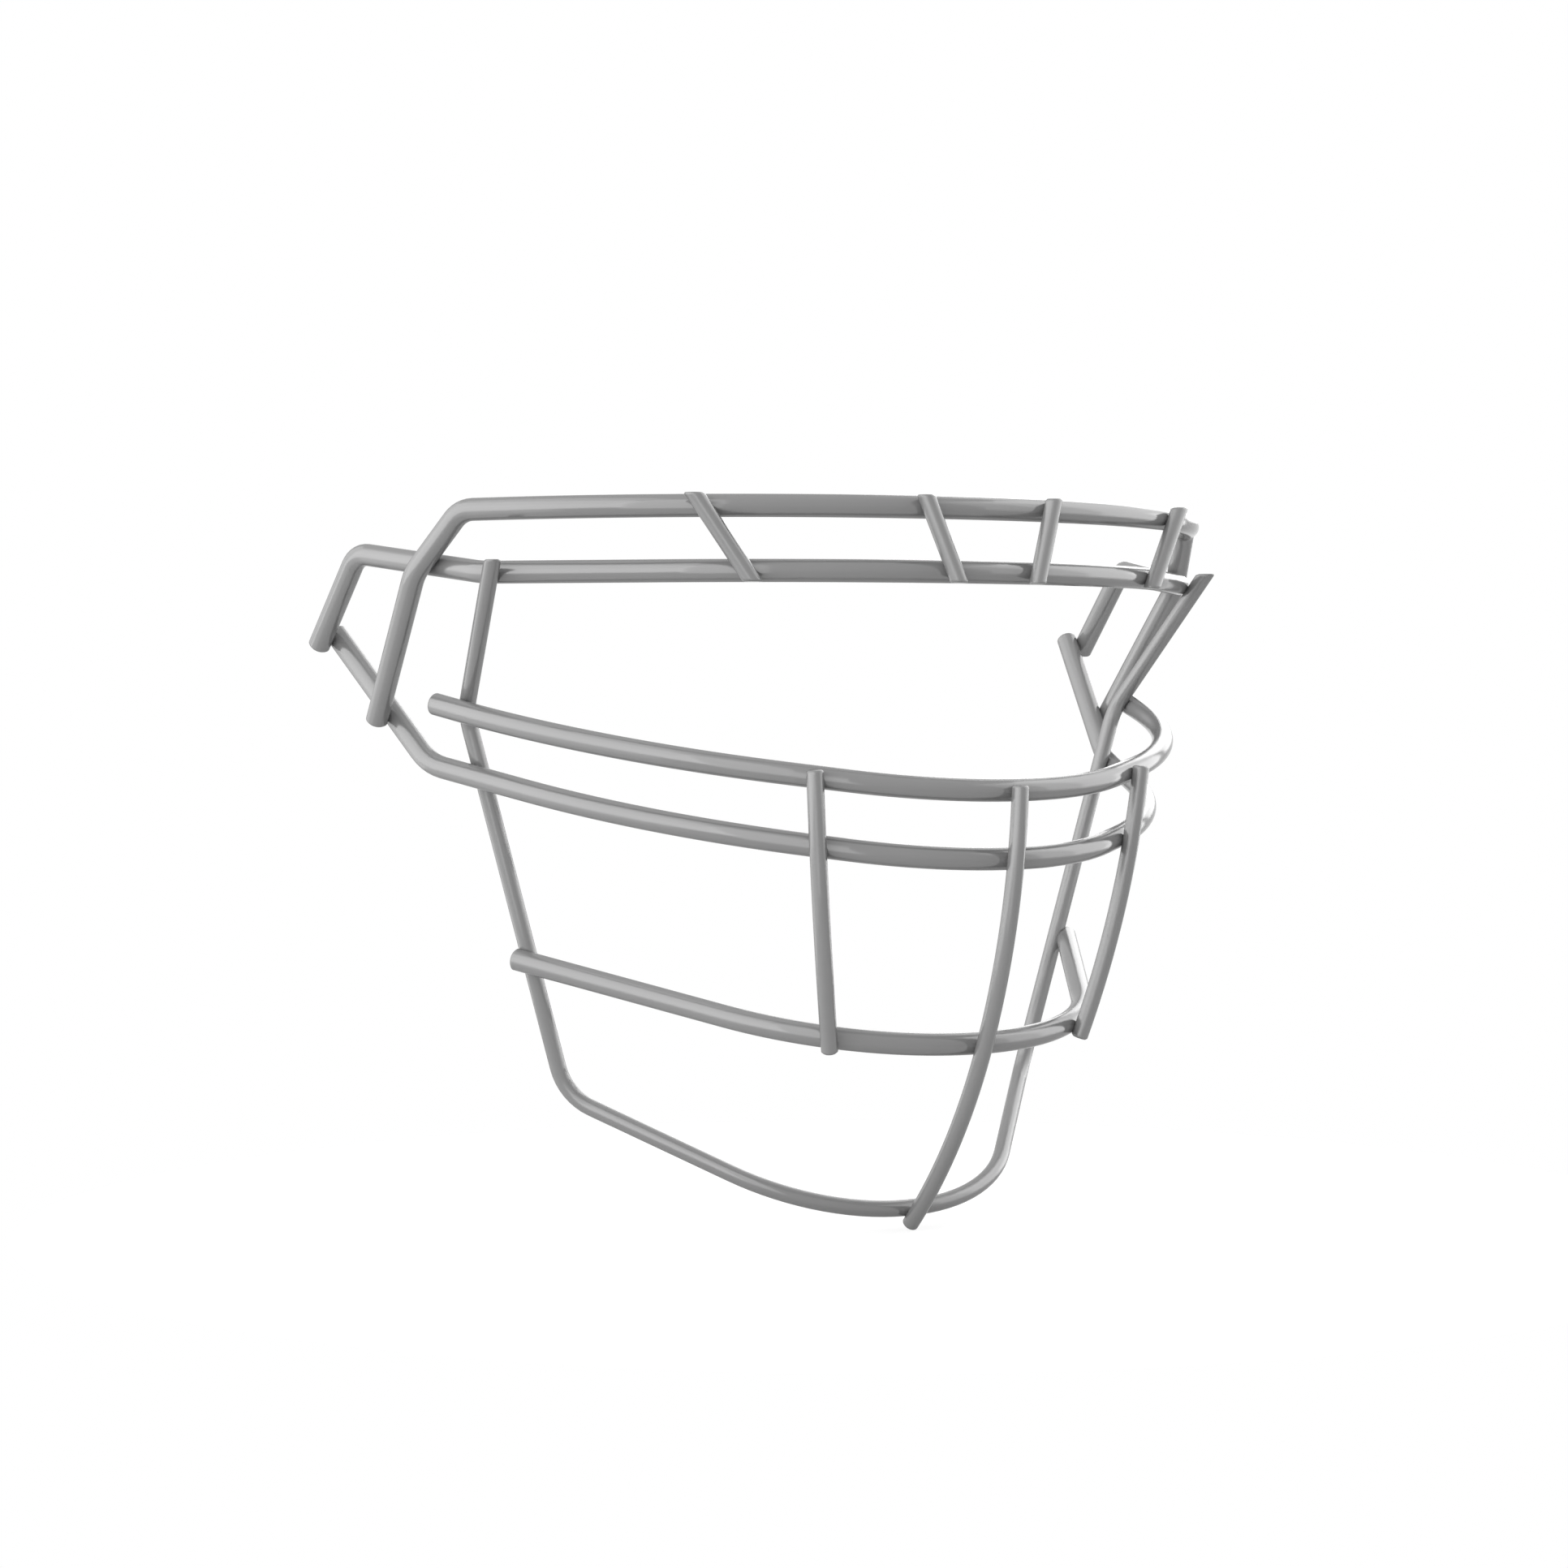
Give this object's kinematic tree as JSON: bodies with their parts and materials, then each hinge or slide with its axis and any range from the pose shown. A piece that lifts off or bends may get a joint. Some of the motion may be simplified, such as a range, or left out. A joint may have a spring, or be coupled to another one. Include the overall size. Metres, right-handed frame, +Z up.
{
  "type": "football helmet facemask",
  "caption": "Grey football helmet facemask: a welded cage of bent round steel wires with brow, nose, cheek, chin and jaw bars, uprights and slanted brow struts.",
  "frame": {"origin": "middle of the upper brow bar, on the wire's axis", "axes": "+X is the wearer's left, -Y is the front that faces away from the wearer, +Z is up; the mask is alike on both sides of X = 0"},
  "size_m": [0.2512, 0.1482, 0.1869],
  "materials": {
    "coated_wire": "smooth gloss grey coat on steel wire",
    "weld_metal": "bare steel inside the seam"
  },
  "bodies": {
    "root": {"upper_brow_bar": "coated_wire", "lower_brow_bar": "coated_wire", "nose_bar": "coated_wire", "cheek_bar": "coated_wire", "chin_bar": "coated_wire", "jaw_bar": "coated_wire", "centre_upright": "coated_wire", "right_mouth_upright": "coated_wire", "left_mouth_upright": "coated_wire", "right_outer_brow_strut": "coated_wire", "right_inner_brow_strut": "coated_wire", "left_inner_brow_strut": "coated_wire", "left_outer_brow_strut": "coated_wire", "upper_brow_strut_welds": "weld_metal", "lower_brow_strut_welds": "weld_metal", "brow_side_welds": "weld_metal", "upper_brow_cheek_welds": "weld_metal", "lower_brow_cheek_welds": "weld_metal", "jaw_to_brow_welds": "weld_metal", "jaw_crossbar_welds": "weld_metal", "upright_welds": "weld_metal"}
  },
  "joints": []
}
